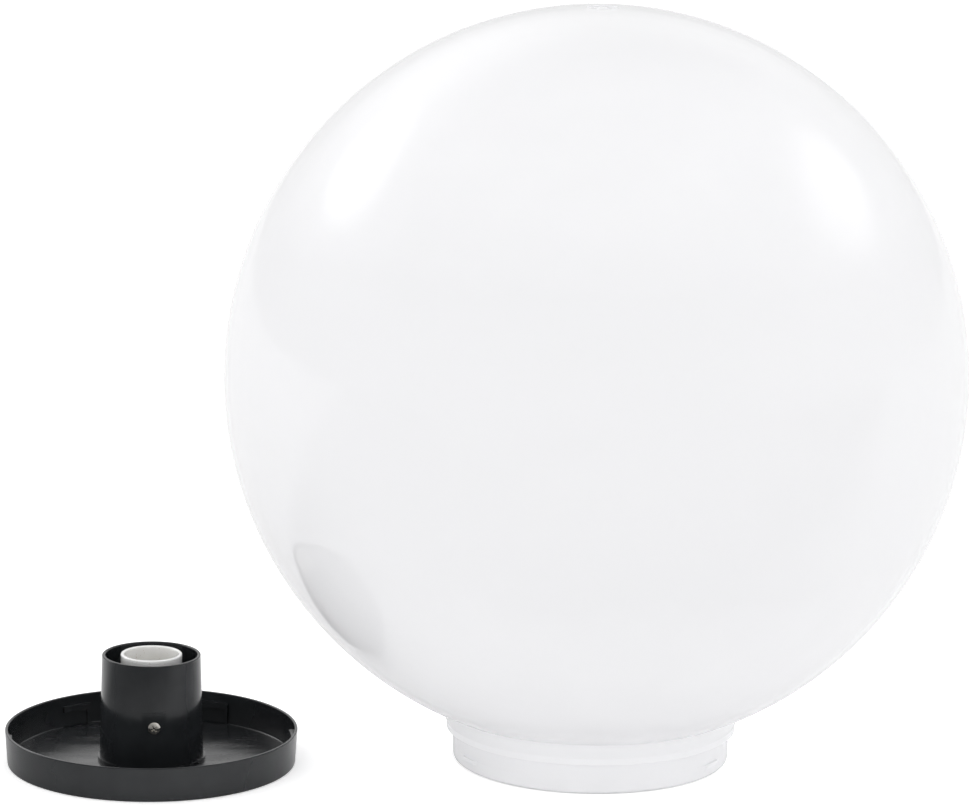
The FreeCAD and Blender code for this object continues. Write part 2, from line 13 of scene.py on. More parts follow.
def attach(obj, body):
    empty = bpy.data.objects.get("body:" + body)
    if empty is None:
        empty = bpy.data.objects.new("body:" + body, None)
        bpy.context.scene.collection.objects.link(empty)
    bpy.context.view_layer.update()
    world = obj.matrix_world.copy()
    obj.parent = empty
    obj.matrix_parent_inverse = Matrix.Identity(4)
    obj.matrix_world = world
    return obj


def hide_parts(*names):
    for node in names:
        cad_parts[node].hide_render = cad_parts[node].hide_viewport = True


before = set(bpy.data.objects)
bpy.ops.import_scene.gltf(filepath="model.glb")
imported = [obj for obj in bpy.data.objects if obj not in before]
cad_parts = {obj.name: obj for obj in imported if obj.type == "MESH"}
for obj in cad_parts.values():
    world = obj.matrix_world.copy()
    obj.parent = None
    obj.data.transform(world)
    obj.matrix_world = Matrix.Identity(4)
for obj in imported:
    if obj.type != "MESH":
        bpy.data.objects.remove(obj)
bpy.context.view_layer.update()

# --- Camera -------------------------------------------------------------------------------------
# A long lens, 3.6 m in front of the pair and a little above them, turned to the right and rolled by
# less than a degree. It comes from fitting the base's circles and the outline of globe and neck.
camera_at = Vector((-0.1729, -3.4905, 1.0274))
camera_to = Vector((0.2242, 0.0009, 0.24395))
camera_roll = math.radians(0.7)
photo_w = 969
focal_px = 5353.0

camera = bpy.data.objects.new("camera", bpy.data.cameras.new("camera"))
bpy.context.scene.collection.objects.link(camera)
camera.data.sensor_width = 36.0
camera.data.lens = focal_px * camera.data.sensor_width / photo_w
camera.data.clip_end = 100.0
ahead = (camera_to - camera_at).normalized()
level = ahead.cross(Vector((0, 0, 1))).normalized()
upward = level.cross(ahead)
right = level * math.cos(camera_roll) + upward * math.sin(camera_roll)
up = upward * math.cos(camera_roll) - level * math.sin(camera_roll)
camera.matrix_world = Matrix((
    (right.x, up.x, -ahead.x, camera_at.x),
    (right.y, up.y, -ahead.y, camera_at.y),
    (right.z, up.z, -ahead.z, camera_at.z),
    (0, 0, 0, 1),
))
bpy.context.scene.camera = camera

# --- Globe --------------------------------------------------------------------------------------
# One blow-moulded ball of opal acrylic with an open neck, glossy outside and in. The neck's band
# closes the dish's rim, three low lugs below it go in under the catches, and the gate's mark is on top.
MM = 0.001

# Nearly all of a noise lies between these. A noise's scale is one over the size of its blobs in mm.
noise_low, noise_high = 0.3, 0.7


def linear(hex_colour):
    """An sRGB hex colour as the linear colour that a socket takes."""
    channels = [int(hex_colour[i:i + 2], 16) / 255 for i in (1, 3, 5)]
    return [c / 12.92 if c <= 0.04045 else ((c + 0.055) / 1.055) ** 2.4 for c in channels] + [1.0]


def add(tree, kind, inputs=(), **settings):
    """Adds a node with its settings. Its inputs come in turn, or by name or number. Each is a value,
    the socket that feeds it, or a node whose first output does."""
    node = tree.nodes.new(kind)
    for name, value in settings.items():
        setattr(node, name, value)
    for key, value in inputs.items() if isinstance(inputs, dict) else enumerate(inputs):
        if isinstance(value, bpy.types.Node):
            value = value.outputs[0]
        if isinstance(value, bpy.types.NodeSocket):
            tree.links.new(value, node.inputs[key])
        else:
            node.inputs[key].default_value = value
    return node


def new_material(name, sockets):
    """A material with one shader. Returns it, its tree, its shader and a position in millimetres."""
    made = bpy.data.materials.new(name)
    made.use_nodes = True
    tree = made.node_tree
    tree.nodes.clear()
    shader = add(tree, "ShaderNodeBsdfPrincipled", sockets)
    add(tree, "ShaderNodeOutputMaterial", {"Surface": shader})
    metres = add(tree, "ShaderNodeTexCoord").outputs["Object"]
    place = add(tree, "ShaderNodeVectorMath", {0: metres, "Scale": 1 / MM}, operation="SCALE")
    return made, tree, shader, place


def tinted(tree, shader, pattern, low, high):
    """Colours the surface between two hex colours, by a pattern, and returns that colour."""
    share = add(tree, "ShaderNodeMapRange", (pattern, noise_low, noise_high, 0.0, 1.0))
    mixer = add(tree, "ShaderNodeMix", {0: share, 6: linear(low), 7: linear(high)}, data_type="RGBA")
    colour = mixer.outputs[2]
    tree.links.new(colour, shader.inputs["Base Color"])
    return colour


def roughened(tree, shader, pattern, low, high):
    """Gives the surface a roughness between two values, by a pattern."""
    roughness = add(tree, "ShaderNodeMapRange", (pattern, noise_low, noise_high, low, high))
    tree.links.new(roughness.outputs[0], shader.inputs["Roughness"])


def bumped(tree, shader, *layers):
    """Raises the surface by patterns, each with its depth in millimetres."""
    normal = {}
    for pattern, depth_mm in layers:
        shape = {"Height": pattern, "Distance": depth_mm * MM, "Strength": 1.0}
        normal = {"Normal": add(tree, "ShaderNodeBump", shape | normal)}
    tree.links.new(normal["Normal"].outputs[0], shader.inputs["Normal"])


def tree_with(name, *sockets):
    """A Geometry Nodes tree with a geometry going in and out, and its named inputs."""
    tree = bpy.data.node_groups.new(name, "GeometryNodeTree")
    tree.interface.new_socket("Geometry", in_out="INPUT", socket_type="NodeSocketGeometry")
    tree.interface.new_socket("Geometry", in_out="OUTPUT", socket_type="NodeSocketGeometry")
    for label, kind in sockets:
        tree.interface.new_socket(label, in_out="INPUT", socket_type="NodeSocket" + kind)
    return tree, add(tree, "NodeGroupInput").outputs


def tree_ends(tree, geometry, material):
    """Smooths what a tree made, makes it real, paints it and hands it out."""
    smooth = add(tree, "GeometryNodeSetShadeSmooth", {"Geometry": geometry})
    whole = add(tree, "GeometryNodeRealizeInstances", {"Geometry": smooth})
    painted = add(tree, "GeometryNodeSetMaterial", {"Geometry": whole, "Material": material})
    add(tree, "NodeGroupOutput", {"Geometry": painted})
    return tree


def turning_tree():
    """Turns a profile about Z. The profile's "thread" values let a helix in between its crest and
    its root, and its "lug" values, in metres, raise the lugs round it."""
    tree, given = tree_with(
        "turned_profile", ("Segments", "Int"), ("First Angle", "Float"), ("Pitch", "Float"),
        ("Thread Depth", "Float"), ("Lug Count", "Int"), ("Lug Angle", "Float"),
        ("Material", "Material"))
    profile, segments = given["Geometry"], given["Segments"]
    size = add(tree, "GeometryNodeAttributeDomainSize", {"Geometry": profile})
    count = size.outputs["Point Count"]
    columns = add(tree, "ShaderNodeMath", (segments, 1.0), operation="ADD")
    sheet = add(tree, "GeometryNodeMeshGrid", {"Vertices X": columns, "Vertices Y": count})
    index = add(tree, "GeometryNodeInputIndex")
    row = add(tree, "ShaderNodeMath", (index, count), operation="MODULO")
    profiles_done = add(tree, "ShaderNodeMath", (index, count), operation="DIVIDE")
    column = add(tree, "ShaderNodeMath", (profiles_done,), operation="FLOOR")
    turn = add(tree, "ShaderNodeMath", (column, segments), operation="DIVIDE")

    def marked(name):
        """How a point of the profile is marked."""
        mark = add(tree, "GeometryNodeInputNamedAttribute", {"Name": name}, data_type="FLOAT")
        return add(tree, "GeometryNodeSampleIndex", {
            "Geometry": profile, "Value": mark, "Index": row}, data_type="FLOAT")

    position = add(tree, "GeometryNodeInputPosition")
    place = add(tree, "GeometryNodeSampleIndex", {
        "Geometry": profile, "Value": position, "Index": row}, data_type="FLOAT_VECTOR")
    split = add(tree, "ShaderNodeSeparateXYZ", (place,)).outputs
    # A cosine whose top and bottom are cut off gives the thread's flat crests and roots.
    pitches_up = add(tree, "ShaderNodeMath", (split["Z"], given["Pitch"]), operation="DIVIDE")
    helix = add(tree, "ShaderNodeMath", (pitches_up, turn), operation="SUBTRACT")
    helix_angle = add(tree, "ShaderNodeMath", (helix, math.tau), operation="MULTIPLY")
    swing = add(tree, "ShaderNodeMath", (helix_angle,), operation="COSINE")
    wave = add(tree, "ShaderNodeMapRange", (swing, -0.8, 0.8, -1.0, 0.0))
    cut = (marked("thread"), given["Thread Depth"])
    depth = add(tree, "ShaderNodeMath", cut, operation="MULTIPLY")
    threaded = add(tree, "ShaderNodeMath", (wave, depth, split["X"]), operation="MULTIPLY_ADD")
    # A lug stands where the turn is within half a lug of a whole number of steps.
    step = add(tree, "ShaderNodeMath", (1.0, given["Lug Count"]), operation="DIVIDE")
    half_on = add(tree, "ShaderNodeMath", (step, 0.5), operation="MULTIPLY")
    half_back = add(tree, "ShaderNodeMath", (step, -0.5), operation="MULTIPLY")
    from_lug = add(tree, "ShaderNodeMath", (turn, half_on, half_back), operation="WRAP")
    off = add(tree, "ShaderNodeMath", (from_lug,), operation="ABSOLUTE")
    half_lug = add(tree, "ShaderNodeMath", (given["Lug Angle"], 2 * math.tau), operation="DIVIDE")
    lug = add(tree, "ShaderNodeMath", (off, half_lug), operation="LESS_THAN")
    raised = (lug, marked("lug"), threaded)
    radius = add(tree, "ShaderNodeMath", raised, operation="MULTIPLY_ADD")
    swept = (turn, math.tau, given["First Angle"])
    angle = add(tree, "ShaderNodeMath", swept, operation="MULTIPLY_ADD")
    flat = add(tree, "ShaderNodeCombineXYZ", {"X": radius, "Z": split["Z"]})
    spun = add(tree, "ShaderNodeVectorRotate", {"Vector": flat, "Angle": angle}, rotation_type="Z_AXIS")
    moved = add(tree, "GeometryNodeSetPosition", {"Geometry": sheet, "Position": spun})
    merged = add(tree, "GeometryNodeMergeByDistance", {"Geometry": moved, "Distance": 1e-6})
    return tree_ends(tree, merged, given["Material"])


def profile_mesh(name, points):
    """A chain of (r, z, thread, lug) in millimetres, as a mesh of edges in the XZ plane."""
    mesh = bpy.data.meshes.new(name)
    links = [(i, i + 1) for i in range(len(points) - 1)]
    mesh.from_pydata([(p[0] * MM, 0, p[1] * MM) for p in points], links, [])
    for column, (mark, unit) in enumerate((("thread", 1.0), ("lug", MM)), start=2):
        values = [p[column] * unit if len(p) > column else 0.0 for p in points]
        mesh.attributes.new(mark, "FLOAT", "POINT").data.foreach_set("value", values)
    return mesh


sharp_angle = math.radians(32)


def grown(name, tree, start, values, place=Matrix()):
    """The plain mesh that a tree makes from a start mesh, with its named inputs set, in its place."""
    maker = bpy.data.objects.new(name, start)
    bpy.context.scene.collection.objects.link(maker)
    modifier = maker.modifiers.new(tree.name, "NODES")
    modifier.node_group = tree
    for item in tree.interface.items_tree:
        if item.in_out == "INPUT" and item.name in values:
            modifier[item.identifier] = values[item.name]
    evaluated = maker.evaluated_get(bpy.context.evaluated_depsgraph_get())
    mesh = bpy.data.meshes.new_from_object(evaluated)
    bpy.data.objects.remove(maker)
    mesh.name = name
    mesh.transform(place)
    mesh.set_sharp_from_angle(angle=sharp_angle)
    return mesh


def fitted(mesh, body, node):
    """Puts a finished mesh in the scene on its body, in the place of its CAD node."""
    piece = bpy.data.objects.new(mesh.name, mesh)
    bpy.context.scene.collection.objects.link(piece)
    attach(piece, body)
    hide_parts(node)


def arc(centre_r, centre_z, radius, start, end, steps):
    """Points of an arc in a profile, by angles in degrees up from the horizontal."""
    turns = [math.radians(start + (end - start) * i / steps) for i in range(steps + 1)]
    return [(centre_r + radius * math.cos(a), centre_z + radius * math.sin(a)) for a in turns]


def eased(corners, steps=5):
    """A profile whose corners (r, z, radius) are rounded, none over more than half of a side."""
    points, most = [], 0.48
    for i, corner in enumerate(corners):
        here = Vector(corner[:2])
        if len(corner) < 3 or i in (0, len(corners) - 1):
            points.append(tuple(here))
            continue
        back, on = Vector(corners[i - 1][:2]) - here, Vector(corners[i + 1][:2]) - here
        reach = corner[2] / math.tan(back.angle(on) / 2)
        start = here + back.normalized() * min(reach, back.length * most)
        end = here + on.normalized() * min(reach, on.length * most)
        for k in range(steps + 1):
            t = k / steps
            points.append(tuple(start * (1 - t) ** 2 + here * 2 * t * (1 - t) + end * t ** 2))
    return points


# Opal acrylic: milky right through, so it has no dark side, under a hard clear gloss that mirrors the
# lamps and the base. Its colour carries painted light: darkest at the ball's middle height and lighter
# towards the top and the neck, to even out how the light falls, with a little random tone on top. The
# wall is never quite even, which bends the reflections.
opal, tree, shader, place = new_material("opal_acrylic_blow_moulded", {
    "IOR": 1.49, "Specular IOR Level": 0.32, "Subsurface Weight": 0.2, "Subsurface Scale": 0.008,
    "Subsurface Radius": (1.0, 1.0, 1.0)})
# Painted light: the colour is darkest at this height, the ball's middle, and lighter above and below
# it.
painted_dim_z = 264.0
height = add(tree, "ShaderNodeSeparateXYZ", (place,)).outputs["Z"]
above = add(tree, "ShaderNodeMath", (height, painted_dim_z), operation="SUBTRACT")
away = add(tree, "ShaderNodeMath", (above,), operation="ABSOLUTE")
painted_light_share = add(tree, "ShaderNodeMapRange", (away, 90, 235, 0.25, 0.65))
clouds = add(tree, "ShaderNodeTexNoise", {"Vector": place, "Scale": 1 / 60})
uneven = add(tree, "ShaderNodeMapRange", (clouds, noise_low, noise_high, 0.0, 0.05))
painted_light_and_tone = add(tree, "ShaderNodeMath", (painted_light_share, uneven), operation="ADD")
# Painted light plus random tone: greyer at the middle height, whiter towards the top and the neck.
tinted(tree, shader, painted_light_and_tone, "#F1F1F3", "#FDFDFF")
haze = add(tree, "ShaderNodeTexNoise", {"Vector": place, "Scale": 1 / 35})
roughened(tree, shader, haze, 0.03, 0.045)
waves = add(tree, "ShaderNodeTexNoise", {"Vector": place, "Scale": 1 / 90, "Detail": 1.0})
ripples = add(tree, "ShaderNodeTexNoise", {"Vector": place, "Scale": 1 / 2.5})
bumped(tree, shader, (waves, 0.04), (ripples, 0.0006))

turned = turning_tree()
ball_r, ball_z, wall = 250.0, 264.621, 2.4
throat = (102.5, 36.6)          # where the neck meets the ball, outside
inner_throat_r = 100.1
lug_r = 93.6                    # the neck's wall between the lugs
gate_r = 10.6                   # the gate's disc at the top of the ball
inner_top_r, inner_top_z, inner_top_turn = 11.6, 510.8, 86.9
throat_turn = math.degrees(math.asin((throat[1] - ball_z) / ball_r))
inner_turn = math.degrees(math.acos(-inner_throat_r / (ball_r - wall))) - 180
gate_turn = math.degrees(math.acos(gate_r / ball_r))
neck_inside_and_foot = eased([
    (95.8, 26.9, 3), (91.6, 22.2, 3), (91.1, 3.2, 0.8), (90.3, 2.4, 0.8), (87.0, 2.4, 0.5),
    (87.0, 0, 0.5), (93.5, 0, 3.2), (lug_r, 6.6)])
lugs = [(lug_r, z, 0, rise) for z, rise in (
    (6.65, 1.2), (6.9, 1.75), (7.3, 1.92), (9.4, 1.92), (9.8, 1.75), (9.95, 1.2))]
neck_outside_and_band = eased([
    (lug_r + 0.05, 10.0), (94.0, 20.2, 0.4), (94.9, 21.1, 0.3), (98.2, 21.1, 0.7),
    (98.2, 25.8, 1.2), throat])
gate = eased([
    (gate_r, ball_z + ball_r * math.sin(math.radians(gate_turn)), 0.5), (10.0, 512.9, 0.6),
    (9.9, 513.3, 0.4), (4.9, 513.3, 0.3), (4.5, 513.7, 0.5), (2.6, 514.4, 1.5), (0, 514.6)])
globe_profile = (
    [(0, inner_top_z), (inner_top_r, inner_top_z)]
    + arc(0, ball_z, ball_r - wall, inner_top_turn, inner_turn, 60)
    + neck_inside_and_foot + lugs + neck_outside_and_band
    + arc(0, ball_z, ball_r, throat_turn, gate_turn, 84)[1:-1] + gate)
globe_place = Matrix.Translation((0.298611, -0.007298, 0))
fitted(grown("globe", turned, profile_mesh("globe_profile", globe_profile), {
    "Segments": 300, "First Angle": math.radians(82.0), "Pitch": 1.0, "Lug Count": 3,
    "Lug Angle": math.radians(9.6), "Material": opal}, globe_place),
    "globe", "globe_shell")


# --- Base ---------------------------------------------------------------------------------------
# Dish and sleeve are two mouldings of black ABS. The dish stands on its flat foot and holds the
# globe by six catches. The sleeve is glued over the dish's spigot and goes on the pole.
def finished(material, *nodes):
    """Gives CAD nodes their material."""
    for node in nodes:
        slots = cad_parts[node].data.materials
        slots.clear()
        slots.append(material)


# Moulded ABS: a near-black satin plastic whose flat floor mirrors softly at a low angle. What faces up
# is rubbed dull in long streaks, which are drawn wider than real ones so that they show.
abs_black, tree, shader, place = new_material("black_abs_moulded", {
    "IOR": 1.52, "Specular IOR Level": 0.44})
clouds = add(tree, "ShaderNodeTexNoise", {"Vector": place, "Scale": 1 / 18})
tinted(tree, shader, clouds, "#1F2123", "#242628")
along = add(tree, "ShaderNodeVectorMath", (place, (4, 1, 1)), operation="DIVIDE")
streaks = add(tree, "ShaderNodeTexNoise", {"Vector": along, "Scale": 1 / 8, "Detail": 3.0})
rubbed = add(tree, "ShaderNodeMapRange", (streaks, 0.25, 0.75, 0.0, 0.18))
normal = add(tree, "ShaderNodeTexCoord").outputs["Normal"]
facing_up = add(tree, "ShaderNodeSeparateXYZ", (normal,)).outputs["Z"]
laid_on = add(tree, "ShaderNodeMapRange", (facing_up, 0.5, 0.95, 0.0, 1.0))
worn = add(tree, "ShaderNodeMath", (rubbed, laid_on), operation="MULTIPLY")
gloss = add(tree, "ShaderNodeTexNoise", {"Vector": place, "Scale": 1 / 14, "Detail": 1.0})
satin = add(tree, "ShaderNodeMapRange", (gloss, 0.0, 1.0, 0.12, 0.15))
roughness = add(tree, "ShaderNodeMath", (worn, satin), operation="ADD")
tree.links.new(roughness.outputs[0], shader.inputs["Roughness"])
sinks = add(tree, "ShaderNodeTexNoise", {"Vector": place, "Scale": 1 / 30, "Detail": 1.0})
grain = add(tree, "ShaderNodeTexNoise", {"Vector": place, "Scale": 1 / 0.5})
bumped(tree, shader, (sinks, 0.02), (grain, 0.0006))
finished(abs_black, "base_dish", "lamp_sleeve")


# --- Pole clamp ---------------------------------------------------------------------------------
# Three nickel-plated M4 screws with pan heads and cross recesses, each in a square zinc-plated nut
# that lies in a pocket of the sleeve. They close on the pole.
def screw_tree():
    """A turned screw with a driver's recess: one bar for a slot, two for a cross."""
    tree, given = tree_with(
        "driven_screw", ("Segments", "Int"), ("Pitch", "Float"), ("Thread Depth", "Float"),
        ("Head Height", "Float"), ("Recess Bars", "Int"), ("Recess Width", "Float"),
        ("Recess Length", "Float"), ("Recess Depth", "Float"), ("Material", "Material"))
    handed_on = ("Geometry", "Segments", "Pitch", "Thread Depth", "Material")
    body = add(tree, "GeometryNodeGroup", {
        "Lug Count": 1, **{label: given[label] for label in handed_on}}, node_tree=turned)
    # A bar is centred on the top of the head, so half of its height goes in.
    bar_height = add(tree, "ShaderNodeMath", (given["Recess Depth"], 2.0), operation="MULTIPLY")
    size = add(tree, "ShaderNodeCombineXYZ", (
        given["Recess Length"], given["Recess Width"], bar_height))
    bar = add(tree, "GeometryNodeMeshCube", {"Size": size})
    head_top = add(tree, "ShaderNodeCombineXYZ", {"Z": given["Head Height"]})
    spots = add(tree, "GeometryNodePoints", {"Count": given["Recess Bars"], "Position": head_top})
    index = add(tree, "GeometryNodeInputIndex")
    quarters = add(tree, "ShaderNodeMath", (index, math.pi / 2), operation="MULTIPLY")
    facing = add(tree, "ShaderNodeCombineXYZ", {"Z": quarters})
    crossed = add(tree, "GeometryNodeInstanceOnPoints", {
        "Points": spots, "Instance": bar, "Rotation": facing})
    bars = add(tree, "GeometryNodeRealizeInstances", {"Geometry": crossed})
    cut = add(tree, "GeometryNodeMeshBoolean", {
        "Mesh 1": body, "Mesh 2": bars, "Self Intersection": True},
        operation="DIFFERENCE", solver="EXACT")
    return tree_ends(tree, cut, given["Material"])


driven = screw_tree()


def screw_profile(name, d, length, head_d, head_h, pitch):
    """A screw from its tip up to its domed head, which stands on z = 0."""
    r, head_r = d / 2, head_d / 2
    tip_high, tip_in = 0.35, 0.4        # the chamfer at the tip
    threaded = length - 0.5             # all but the chamfer and 0.15 mm below the head
    rows_a_turn, first_rows, last_rows = 8, 3, 5
    rows = max(int(threaded / pitch * rows_a_turn), rows_a_turn)
    thread = [(r, -length + tip_high + threaded * i / rows,
               min(1.0, i / first_rows, (rows - i) / last_rows)) for i in range(rows + 1)]
    rim = head_h * 0.42                 # the head's straight side
    rise = head_h - rim
    ball = (head_r ** 2 + rise ** 2) / (2 * rise)
    edge = math.degrees(math.acos(head_r / ball))
    dome = arc(0, head_h - ball, ball, edge, 90, 12)
    crown = eased([(head_r, 0.0), (head_r, rim, 0.25), dome[1]], 3)
    tip = [(0, -length), (r - tip_in, -length)]
    return profile_mesh(name, tip + thread + [(r, 0.0)] + crown + dome[2:])


def made_screw(name, place, material, segments, d, length, head, pitch, thread_depth, recess):
    """A screw in its place. Its head is (diameter, height), its recess (bars, width, length, depth)."""
    bars, wide, long, deep = recess
    start = screw_profile(name + "_profile", d, length, *head, pitch)
    return grown(name, driven, start, {
        "Segments": segments, "Pitch": pitch * MM, "Thread Depth": thread_depth * MM,
        "Head Height": head[1] * MM, "Recess Bars": bars, "Recess Width": wide * MM,
        "Recess Length": long * MM, "Recess Depth": deep * MM, "Material": material}, place)


# Nickel plate: warm white metal, bright, with the fine turning marks of the steel below it.
nickel, tree, shader, place = new_material("steel_nickel_plated", {"Metallic": 1.0})
clouds = add(tree, "ShaderNodeTexNoise", {"Vector": place, "Scale": 1 / 2.2})
tinted(tree, shader, clouds, "#D8D4CC", "#E4E1DB")
along = add(tree, "ShaderNodeVectorMath", (place, (6, 1, 1)), operation="DIVIDE")
marks = add(tree, "ShaderNodeTexNoise", {"Vector": along, "Scale": 1 / 0.12})
roughened(tree, shader, marks, 0.14, 0.26)
dents = add(tree, "ShaderNodeTexNoise", {"Vector": place, "Scale": 1 / 0.8})
bumped(tree, shader, (marks, 0.003), (dents, 0.004))

# Zinc plate: cooler and duller than nickel, faintly blue and yellow in patches from its passivation.
zinc, tree, shader, place = new_material("steel_zinc_plated", {"Metallic": 1.0})
patches = add(tree, "ShaderNodeTexNoise", {"Vector": place, "Scale": 1 / 5})
tinted(tree, shader, patches, "#AEB6BF", "#C3BFB4")
bloom = add(tree, "ShaderNodeTexNoise", {"Vector": place, "Scale": 1 / 1.2, "Detail": 4.0})
roughened(tree, shader, bloom, 0.26, 0.42)
crystals = add(tree, "ShaderNodeTexNoise", {"Vector": place, "Scale": 1 / 0.35, "Detail": 3.0})
bumped(tree, shader, (crystals, 0.003))

clamp_screw = dict(material=nickel, segments=40, d=4.0, length=4.62, head=(8.4, 2.9), pitch=0.7,
                   thread_depth=0.43, recess=(2, 1.3, 4.8, 2.1))
clamp_at = Matrix.Translation((0, -0.0351205, 0.033))
outward = Matrix.Rotation(math.pi / 2, 4, "X")
half_tight = Matrix.Rotation(0.6, 4, "Z")
for i in range(3):
    name = "clamp_screw_%d" % (i + 1)
    in_place = Matrix.Rotation(math.tau * i / 3, 4, "Z") @ (clamp_at @ outward @ half_tight)
    screw = made_screw(name + "_cross_head", in_place, **clamp_screw)
    fitted(screw, name, name)
    finished(nickel, name)
finished(zinc, "clamp_nut_1", "clamp_nut_2", "clamp_nut_3")

# --- Lampholder ---------------------------------------------------------------------------------
# A deep porcelain cup, dry-pressed and glazed. It holds a rolled shell of nickel-plated brass for a
# 27 mm screw cap, which hangs by its flange on a ledge of the cup.

# Glazed porcelain: a clean white body under clear glass, very smooth, with slow waves in the glaze
# and a rare brown speck of iron.
porcelain, tree, shader, place = new_material("porcelain_glazed", {
    "IOR": 1.52, "Coat Weight": 0.6, "Coat Roughness": 0.04, "Subsurface Weight": 0.15,
    "Subsurface Scale": 0.002, "Subsurface Radius": (1.0, 1.0, 1.0)})
clouds = add(tree, "ShaderNodeTexNoise", {"Vector": place, "Scale": 1 / 12})
body = tinted(tree, shader, clouds, "#F4F4F2", "#F9F9F8")
iron = add(tree, "ShaderNodeTexNoise", {"Vector": place, "Scale": 1 / 0.7, "Detail": 0.0})
specks = add(tree, "ShaderNodeMapRange", (iron, 0.79, 0.83, 0.0, 1.0))
speckled = add(tree, "ShaderNodeMix", {0: specks, 6: body, 7: linear("#B9A88E")}, data_type="RGBA")
tree.links.new(speckled.outputs[2], shader.inputs["Base Color"])
haze = add(tree, "ShaderNodeTexNoise", {"Vector": place, "Scale": 1 / 5})
roughened(tree, shader, haze, 0.07, 0.13)
waves = add(tree, "ShaderNodeTexNoise", {"Vector": place, "Scale": 1 / 7, "Detail": 1.0})
pits = add(tree, "ShaderNodeTexNoise", {"Vector": place, "Scale": 1 / 1.1})
bumped(tree, shader, (waves, 0.03), (pits, 0.002))
finished(porcelain, "lampholder_body")

# Nickel-plated brass: the warmest of the white metals, drawn and rolled, so it stays smooth.
shell_metal, tree, shader, place = new_material("brass_nickel_plated_rolled", {"Metallic": 1.0})
clouds = add(tree, "ShaderNodeTexNoise", {"Vector": place, "Scale": 1 / 4})
tinted(tree, shader, clouds, "#CFC6B2", "#D9D3C6")
upright = add(tree, "ShaderNodeVectorMath", (place, (1, 1, 5)), operation="DIVIDE")
scuffs = add(tree, "ShaderNodeTexNoise", {"Vector": upright, "Scale": 1 / 0.3, "Detail": 3.0})
roughened(tree, shader, scuffs, 0.18, 0.3)
around = add(tree, "ShaderNodeVectorMath", (place, (5, 5, 1)), operation="DIVIDE")
rolled = add(tree, "ShaderNodeTexNoise", {"Vector": around, "Scale": 1 / 0.3})
bumped(tree, shader, (rolled, 0.002))

shell_foot, shell_top = 42.0, 62.0
shell_in_r, shell_out_r, flange_r, flange_z = 13.35, 13.8, 16.5, 62.45
plain_foot, plain_ends = 0.8, 2.0       # of the shell's height, left without thread
shell_rows, fading_rows = 66, 8
climb = [(shell_foot + plain_foot + (shell_top - shell_foot - plain_ends) * i / shell_rows,
          min(1.0, i / fading_rows, (shell_rows - i) / fading_rows)) for i in range(shell_rows + 1)]
flange = eased([
    (shell_out_r, shell_top - 0.6), (shell_out_r, shell_top, 0.4), (flange_r, shell_top, 0.1),
    (flange_r, flange_z, 0.2), (shell_in_r, flange_z, 0.7), (shell_in_r, shell_top - 0.8)], 4)
shell_profile = (
    [(shell_in_r, shell_foot), (shell_out_r, shell_foot)]
    + [(shell_out_r, z, cut) for z, cut in climb] + flange
    + [(shell_in_r, z, cut) for z, cut in reversed(climb)] + [(shell_in_r, shell_foot)])
fitted(grown("threaded_shell", turned, profile_mesh("shell_profile", shell_profile), {
    "Segments": 96, "Pitch": 3.629 * MM, "Thread Depth": 1.15 * MM, "Lug Count": 1,
    "Material": shell_metal}), "base", "screw_shell")
finished(shell_metal, "screw_shell")

# --- Contacts and terminals ---------------------------------------------------------------------
# A bronze tongue on a brass strip is the centre contact, and a second strip reaches the shell. Each
# is riveted through the porcelain to a brass block with a zinc-plated screw for the wire.

# Stamped brass: yellow metal with straight rolling lines, gone a little brown where it was handled.
brass, tree, shader, place = new_material("brass_stamped", {"Metallic": 1.0})
handled = add(tree, "ShaderNodeTexNoise", {"Vector": place, "Scale": 1 / 3.5, "Detail": 3.0})
tinted(tree, shader, handled, "#B8924A", "#D9B76C")
along = add(tree, "ShaderNodeVectorMath", (place, (1, 14, 1)), operation="DIVIDE")
lines = add(tree, "ShaderNodeTexNoise", {"Vector": along, "Scale": 1 / 0.15})
roughened(tree, shader, lines, 0.2, 0.36)
bumped(tree, shader, (lines, 0.003))
finished(brass, "live_strip", "neutral_strip", "contact_rivets", "live_terminal", "neutral_terminal")

# Spring bronze: redder than brass and bright from rolling.
bronze, tree, shader, place = new_material("bronze_spring_rolled", {"Metallic": 1.0})
handled = add(tree, "ShaderNodeTexNoise", {"Vector": place, "Scale": 1 / 2.5, "Detail": 3.0})
tinted(tree, shader, handled, "#B97F4B", "#D39C68")
along = add(tree, "ShaderNodeVectorMath", (place, (1, 16, 1)), operation="DIVIDE")
lines = add(tree, "ShaderNodeTexNoise", {"Vector": along, "Scale": 1 / 0.12})
roughened(tree, shader, lines, 0.18, 0.3)
bumped(tree, shader, (lines, 0.002))
finished(bronze, "centre_contact")

terminal_screw = dict(material=zinc, segments=32, d=3.0, length=5.0, head=(5.2, 1.9), pitch=0.5,
                      thread_depth=0.3, recess=(1, 0.8, 8, 0.9))
downward = Matrix.Rotation(math.pi, 4, "X")
for pole, side in (("live", 1), ("neutral", -1)):
    name = pole + "_terminal_screw"
    below = Matrix.Translation((0, side * 0.013, 0.0271)) @ downward
    screw = made_screw(name + "_slotted", below, **terminal_screw)
    fitted(screw, name, name)
    finished(zinc, name)

# --- Bracket ------------------------------------------------------------------------------------
# A strap of zinc-plated strip steel, bent to carry the lampholder. Two M4 screws hold the cup down
# on it, and two thread-forming screws hold its ears down on the sleeve's web.
finished(zinc, "holder_bracket", "holder_screws", "bracket_screws")


def screw_pair(name, node, x, z, **sizes):
    """Two like screws at x and -x, joined in one piece."""
    both = bpy.data.meshes.new(name)
    points, faces = [], []
    for side in (1, -1):
        mesh = made_screw(name, Matrix.Translation((side * x * MM, 0, z * MM)), **sizes)
        first = len(points)
        points += [v.co.copy() for v in mesh.vertices]
        faces += [[first + i for i in face.vertices] for face in mesh.polygons]
    both.from_pydata(points, [], faces)
    both.shade_smooth()
    both.set_sharp_from_angle(angle=sharp_angle)
    both.materials.append(sizes["material"])
    fitted(both, "base", node)


